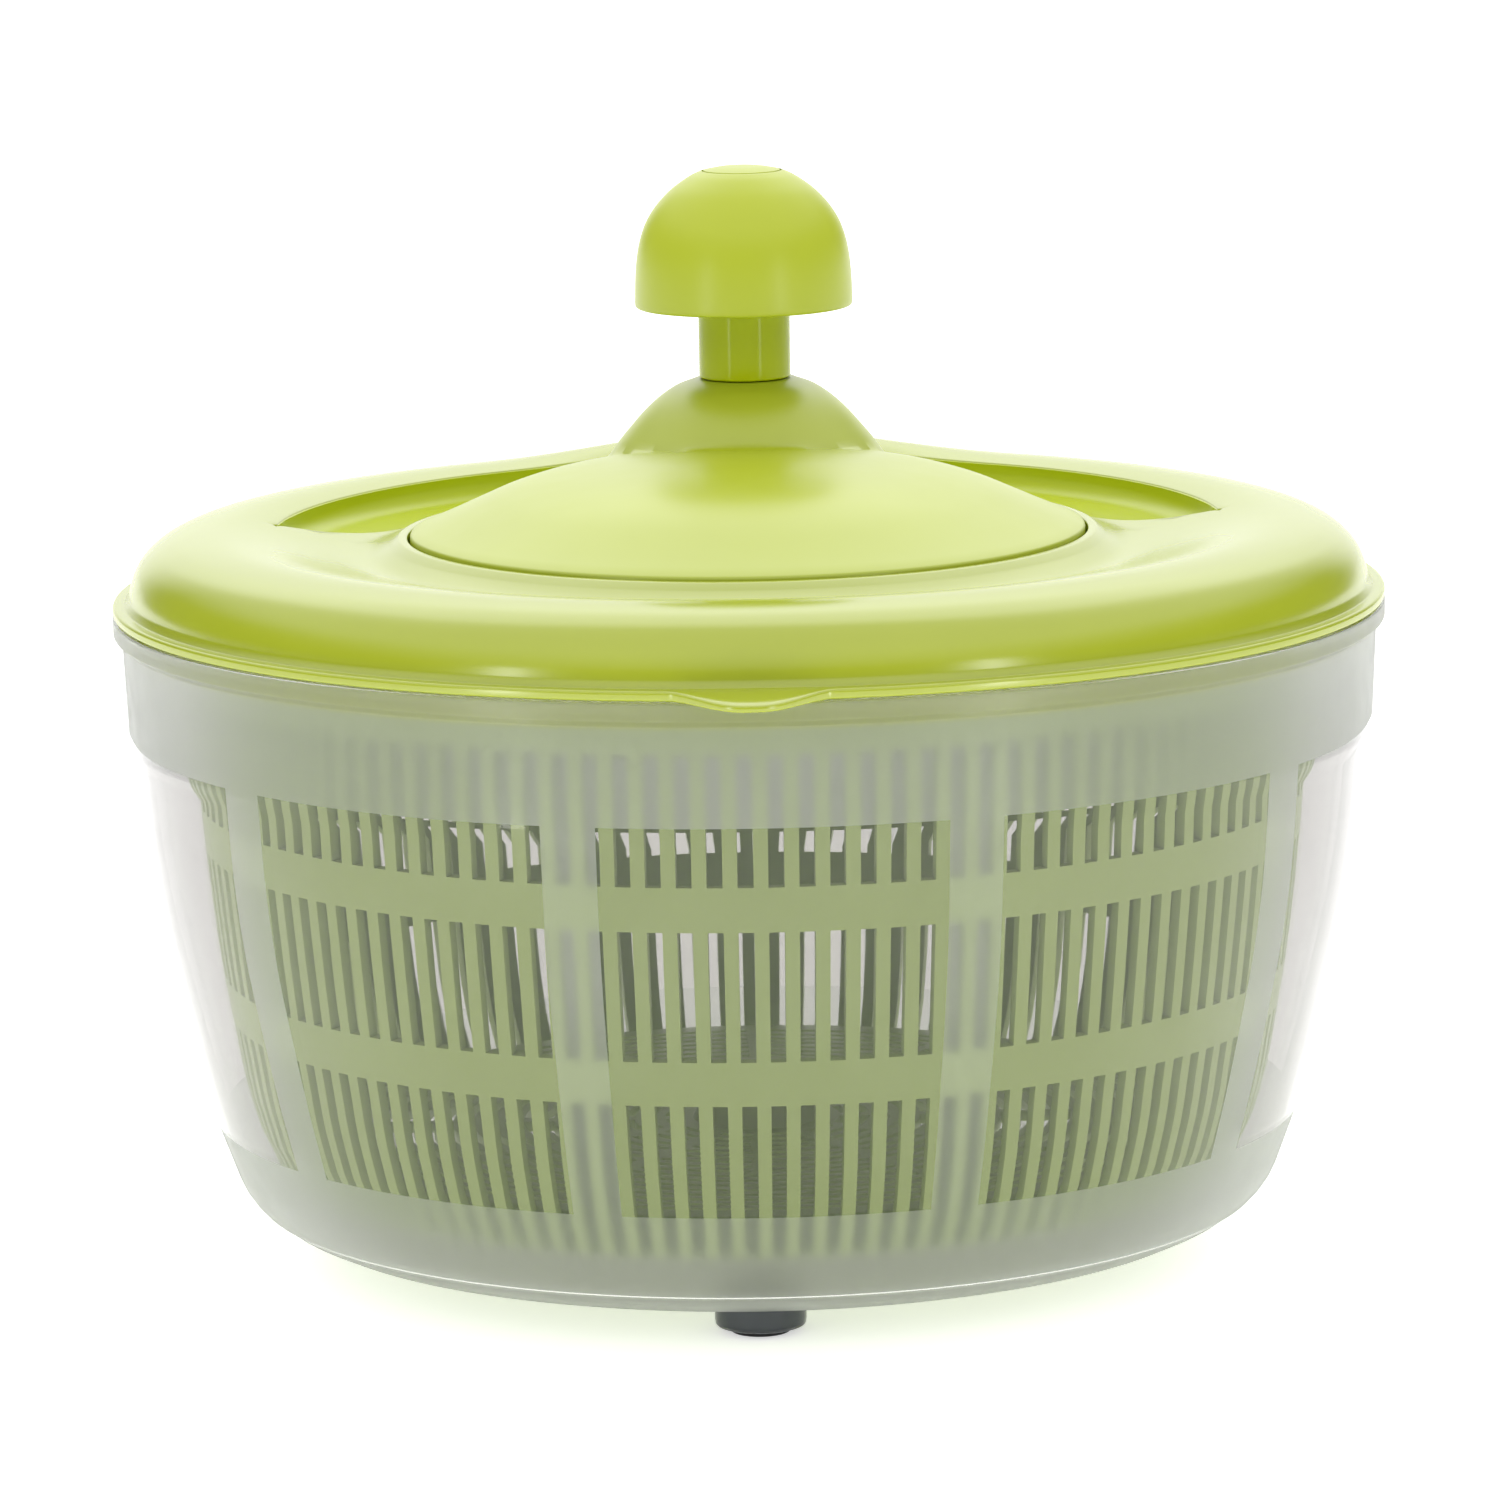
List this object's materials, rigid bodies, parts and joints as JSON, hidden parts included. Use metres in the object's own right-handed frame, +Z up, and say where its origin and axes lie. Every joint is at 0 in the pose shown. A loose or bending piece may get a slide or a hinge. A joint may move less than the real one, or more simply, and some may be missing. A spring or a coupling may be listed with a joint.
{
  "type": "salad spinner",
  "caption": "Crank salad spinner: clear bowl on three feet, slotted basket on a pivot, domed lid with crank disc and mushroom knob",
  "frame": {"origin": "centre of the object's bounding box in plan, at the height of the foot pads' undersides; the spin axis stands 4.5 mm behind it, at Y = +0.0045", "axes": "+Z up along the spin axis, -Y towards the thumb tab at the front, +X to the right seen from the front"},
  "size_m": [0.25, 0.259, 0.2116],
  "materials": {
    "bowl_plastic": "clear plastic, frosted above and below clear windows",
    "foot_grey": "grey-blue rubber plug",
    "pad_rubber": "matt black rubber",
    "steel": "turned steel",
    "gear_plastic": "natural acetal",
    "basket_plastic": "green translucent plastic",
    "lid_plastic": "satin lime green",
    "post_gloss": "glossy lime green",
    "knob_plastic": "satin lime green"
  },
  "bodies": {
    "bowl": {"bowl": "bowl_plastic", "foot_plug_1": "foot_grey", "foot_plug_2": "foot_grey", "foot_plug_3": "foot_grey", "foot_pad_1": "pad_rubber", "foot_pad_2": "pad_rubber", "foot_pad_3": "pad_rubber", "pivot_pin": "steel"},
    "bearing": {"pivot_bush": "gear_plastic"},
    "basket": {"basket": "basket_plastic"},
    "lid": {"lid_shell": "lid_plastic", "hub_bush": "gear_plastic", "idler_pin_1": "steel", "idler_pin_2": "steel", "idler_pin_3": "steel"},
    "idler_1": {"idler_gear_1": "gear_plastic"},
    "idler_2": {"idler_gear_2": "gear_plastic"},
    "idler_3": {"idler_gear_3": "gear_plastic"},
    "drive": {"sun_gear": "gear_plastic", "drive_plate": "basket_plastic", "drive_washer": "steel"},
    "crank": {"crank_disc": "lid_plastic", "ring_gear": "gear_plastic", "centre_pin": "steel", "pin_circlip": "steel", "knob_post": "post_gloss", "knob_washer": "steel", "knob_screw": "steel"},
    "knob": {"knob": "knob_plastic", "knob_cap": "knob_plastic"}
  },
  "joints": [
    {"name": "basket_lift", "type": "slide", "parent": "bowl", "child": "bearing", "axis": [0, 0, 1], "range_m": [0, 0.16]},
    {"name": "basket_spin", "type": "hinge", "parent": "bearing", "child": "basket", "pos_m": [0, 0.0045, 0], "axis": [0, 0, 1], "continuous": true},
    {"name": "lid_lift", "type": "slide", "parent": "bearing", "child": "lid", "axis": [0, 0, 1], "range_m": [0, 0.08]},
    {"name": "crank_spin", "type": "hinge", "parent": "lid", "child": "crank", "pos_m": [0, 0.0045, 0], "axis": [0, 0, 1], "continuous": true},
    {"name": "idler_1_spin", "type": "hinge", "parent": "lid", "child": "idler_1", "pos_m": [0.02923, 0.02138, 0], "axis": [0, 0, 1], "continuous": true},
    {"name": "idler_2_spin", "type": "hinge", "parent": "lid", "child": "idler_2", "pos_m": [-0.02923, 0.02138, 0], "axis": [0, 0, 1], "continuous": true},
    {"name": "idler_3_spin", "type": "hinge", "parent": "lid", "child": "idler_3", "pos_m": [0, -0.02925, 0], "axis": [0, 0, 1], "continuous": true},
    {"name": "drive_spin", "type": "hinge", "parent": "lid", "child": "drive", "pos_m": [0, 0.0045, 0], "axis": [0, 0, 1], "continuous": true},
    {"name": "knob_spin", "type": "hinge", "parent": "crank", "child": "knob", "pos_m": [0, 0.0385, 0.19], "axis": [0, 0, 1], "continuous": true}
  ],
  "couplings": [
    {"joint": "idler_1_spin", "follows": "crank_spin", "ratio": 2.6667},
    {"joint": "idler_2_spin", "follows": "crank_spin", "ratio": 2.6667},
    {"joint": "idler_3_spin", "follows": "crank_spin", "ratio": 2.6667},
    {"joint": "drive_spin", "follows": "crank_spin", "ratio": -4},
    {"joint": "basket_spin", "follows": "crank_spin", "ratio": -4}
  ]
}
